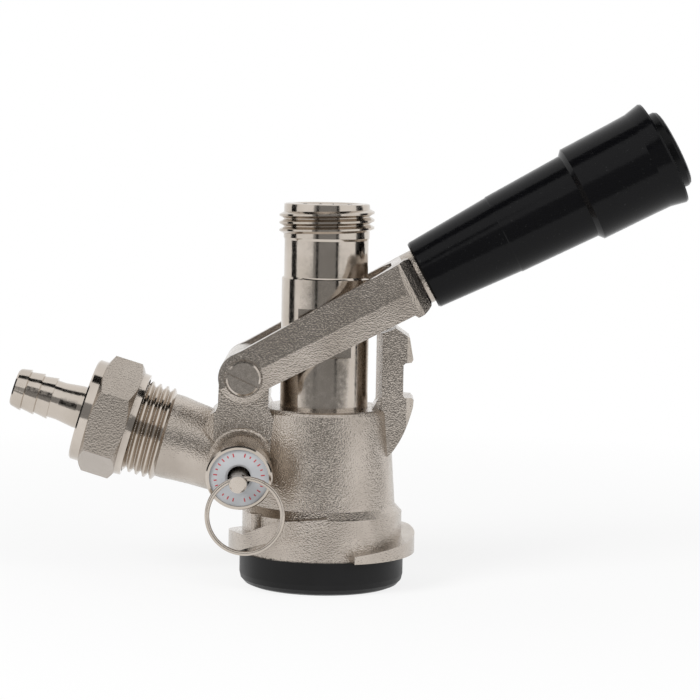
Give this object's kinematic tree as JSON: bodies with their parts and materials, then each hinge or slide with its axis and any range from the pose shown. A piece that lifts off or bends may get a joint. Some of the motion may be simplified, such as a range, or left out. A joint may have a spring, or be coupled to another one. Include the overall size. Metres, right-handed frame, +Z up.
{
  "type": "keg coupler",
  "caption": "lever-operated keg coupler: bayonet body, sliding beer probe, latching grip handle, gas inlet with barb and nut, and a relief valve with pull ring",
  "frame": {"origin": "on the probe axis at the bottom face of the keg seal, where the coupler meets the keg neck", "axes": "+Z runs up the probe to the beer outlet; +X points at the latch bracket and the grip; -Y faces the relief valve"},
  "size_m": [0.1631, 0.0518, 0.1172],
  "materials": {
    "cast_nickel": "satin",
    "lever_nickel": "satin",
    "seal_rubber": "satin",
    "o_ring_rubber": "satin",
    "probe_steel": "polished",
    "tip_rubber": "satin",
    "ball_plastic": "matte",
    "retainer_plastic": "matte",
    "pin_steel": "turned",
    "clip_steel": "satin",
    "grip_plastic": "gloss",
    "cap_plastic": "gloss",
    "plunger_steel": "turned",
    "spring_steel": "drawn",
    "bush_brass": "turned",
    "washer_steel": "satin",
    "nut_steel": "satin",
    "nut_nickel": "polished",
    "barb_nickel": "polished",
    "washer_rubber": "matte",
    "duckbill_rubber": "satin",
    "relief_nickel": "satin",
    "disc_plastic": "matte",
    "stem_steel": "turned",
    "poppet_rubber": "matte",
    "relief_spring_steel": "drawn",
    "ring_steel": "polished"
  },
  "bodies": {
    "body": {"body": "cast_nickel", "bottom_seal": "seal_rubber", "body_o_rings": "o_ring_rubber", "gas_check_valve": "duckbill_rubber", "relief_valve_housing": "relief_nickel", "relief_valve_disc": "disc_plastic", "relief_valve_spring": "relief_spring_steel"},
    "probe": {"probe_tube": "probe_steel", "probe_tip_seal": "tip_rubber", "check_ball_retainer": "retainer_plastic"},
    "check_ball": {"outlet_check_ball": "ball_plastic"},
    "lever": {"lever_fork": "lever_nickel", "hinge_pin": "pin_steel", "hinge_pin_clip": "clip_steel", "plunger_bush": "bush_brass", "latch_spring": "spring_steel"},
    "grip": {"handle_grip": "grip_plastic", "grip_end_cap": "cap_plastic", "latch_plunger": "plunger_steel", "plunger_washer": "washer_steel", "plunger_nut": "nut_steel"},
    "relief_stem": {"relief_valve_stem": "stem_steel", "relief_poppet_seal": "poppet_rubber"},
    "ring": {"pull_ring": "ring_steel"},
    "barb": {"hose_barb": "barb_nickel", "tailpiece_washer": "washer_rubber"},
    "nut": {"inlet_nut": "nut_nickel"}
  },
  "joints": [
    {"name": "lever_swing", "type": "hinge", "parent": "body", "child": "lever", "pos_m": [-0.01886, 0, 0.05118], "axis": [0, 1, 0], "range_deg": [0, 30]},
    {"name": "probe_slide", "type": "slide", "parent": "body", "child": "probe", "axis": [0, 0, -1], "range_m": [0, 0.0109]},
    {"name": "check_ball_lift", "type": "slide", "parent": "probe", "child": "check_ball", "axis": [0, 0, 1], "range_m": [0, 0.0025]},
    {"name": "grip_pull", "type": "slide", "parent": "lever", "child": "grip", "axis": [0.8813, 0, 0.4726], "range_m": [-0.0008, 0.0026], "stiffness_N_per_m": 900, "deforming": ["latch_spring"]},
    {"name": "relief_pull", "type": "slide", "parent": "body", "child": "relief_stem", "axis": [0, -0.9848, -0.1736], "range_m": [0, 0.003], "stiffness_N_per_m": 600, "deforming": ["relief_valve_spring"]},
    {"name": "pull_ring_swing", "type": "hinge", "parent": "relief_stem", "child": "ring", "pos_m": [-0.01925, -0.02672, 0.02875], "axis": [-0.9829, 0, -0.184], "range_deg": [0, 90]},
    {"name": "barb_slide", "type": "slide", "parent": "body", "child": "barb", "axis": [-0.9573, 0, 0.2891], "range_m": [0, 0.0036]},
    {"name": "inlet_nut_turn", "type": "hinge", "parent": "barb", "child": "nut", "pos_m": [-0.05169, 0, 0.03956], "axis": [-0.9573, 0, 0.2891], "range_deg": [0, 710]}
  ],
  "couplings": [
    {"joint": "probe_slide", "follows": "lever_swing", "m_per_rad": 0.0206},
    {"joint": "barb_slide", "follows": "inlet_nut_turn", "m_per_rad": 0.00028871}
  ]
}
